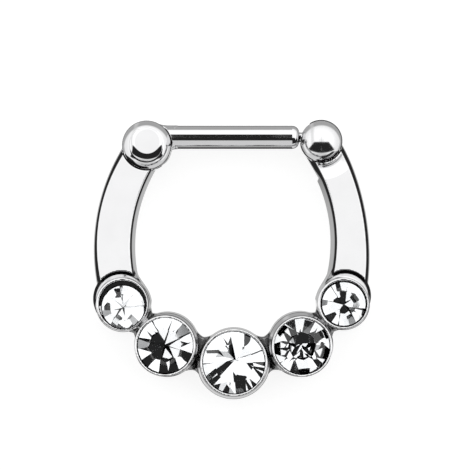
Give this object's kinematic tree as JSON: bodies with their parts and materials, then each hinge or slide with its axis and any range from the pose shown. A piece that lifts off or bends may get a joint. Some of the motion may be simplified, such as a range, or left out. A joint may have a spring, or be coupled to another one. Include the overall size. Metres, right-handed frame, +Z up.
{
  "type": "septum clicker ring",
  "caption": "Curved front ring with graduated round stones in cups, flat-faced arms, a straight hinged bar and a catch ball.",
  "frame": {"origin": "centre of the bounding box's lower face; the ring lies flat on its back", "axes": "+X from the hinge towards the catch ball, +Y towards the bar, +Z up out of the stones"},
  "size_m": [0.0144, 0.0145, 0.0027],
  "materials": {
    "steel": "mirror-polished surgical steel",
    "stone": "clear cut crystal with a foiled back"
  },
  "bodies": {
    "ring": {"frame": "steel", "hinge_pin": "steel", "gem_left_outer": "stone", "gem_left_inner": "stone", "gem_center": "stone", "gem_right_inner": "stone", "gem_right_outer": "stone"},
    "bar": {"bar": "steel"}
  },
  "joints": [
    {"name": "bar_hinge", "type": "hinge", "parent": "ring", "child": "bar", "pos_m": [-0.0045, 0.00588, 0.00125], "axis": [0, 0, 1], "range_deg": [0, 110]}
  ]
}
